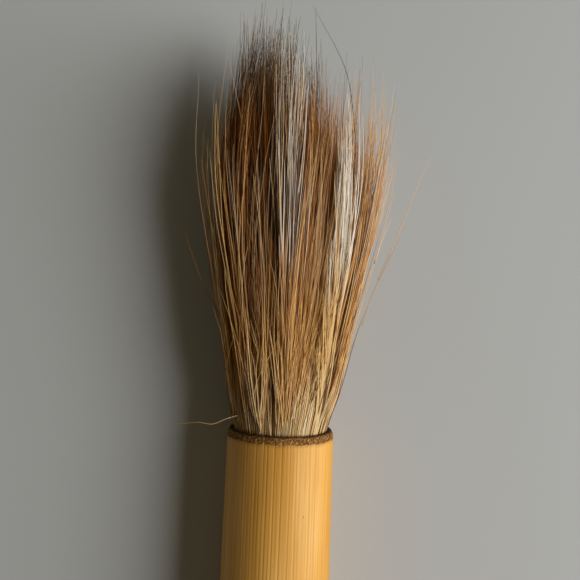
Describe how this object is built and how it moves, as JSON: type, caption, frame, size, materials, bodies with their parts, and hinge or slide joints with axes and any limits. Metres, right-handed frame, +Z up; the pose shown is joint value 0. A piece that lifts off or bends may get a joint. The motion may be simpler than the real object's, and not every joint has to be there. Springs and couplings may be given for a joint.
{
  "type": "calligraphy brush",
  "caption": "Calligraphy brush lying down: bamboo handle, turned end plug and a frayed tuft of mixed animal hair that bends.",
  "frame": {"origin": "on the surface the brush lies on, under the middle of its length", "axes": "+Y along the brush towards the tip of the hair, +Z up from the surface it lies on, +X to the right seen from above with the tip away"},
  "size_m": [0.0236, 0.263, 0.0167],
  "materials": {
    "bamboo": "satin",
    "turned_wood": "satin",
    "hair_golden": "satin",
    "hair_brown": "satin",
    "hair_pale": "satin",
    "thread": "matte",
    "rosin": "gloss",
    "glue": "gloss"
  },
  "bodies": {
    "handle": {"bamboo_handle": "bamboo", "end_plug": "turned_wood", "hair_root": "hair_pale", "binding_thread": "thread", "root_seal": "rosin", "glue_collar": "glue"},
    "waist": {"waist_core": "hair_pale", "waist_lock_01": "hair_golden", "waist_lock_02": "hair_brown", "waist_lock_03": "hair_golden", "waist_lock_04": "hair_pale", "waist_lock_05": "hair_brown", "waist_lock_06": "hair_golden", "waist_lock_07": "hair_brown", "waist_lock_08": "hair_golden", "waist_lock_09": "hair_pale", "waist_lock_10": "hair_brown"},
    "tip": {"tip_core": "hair_pale", "tip_lock_01": "hair_golden", "tip_lock_02": "hair_brown", "tip_lock_03": "hair_golden", "tip_lock_04": "hair_pale", "tip_lock_05": "hair_brown", "tip_lock_06": "hair_golden", "tip_lock_07": "hair_brown", "tip_lock_08": "hair_golden", "tip_lock_09": "hair_pale", "tip_lock_10": "hair_brown"}
  },
  "joints": [
    {"name": "waist_bend", "type": "hinge", "parent": "handle", "child": "waist", "pos_m": [0, 0.0845, 0.00726], "axis": [1, 0, 0], "range_deg": [-25, 25], "stiffness_Nm_per_rad": 0.06},
    {"name": "tip_bend", "type": "hinge", "parent": "waist", "child": "tip", "pos_m": [0, 0.1055, 0.00726], "axis": [0, 0, 1], "range_deg": [-35, 35], "stiffness_Nm_per_rad": 0.03}
  ]
}
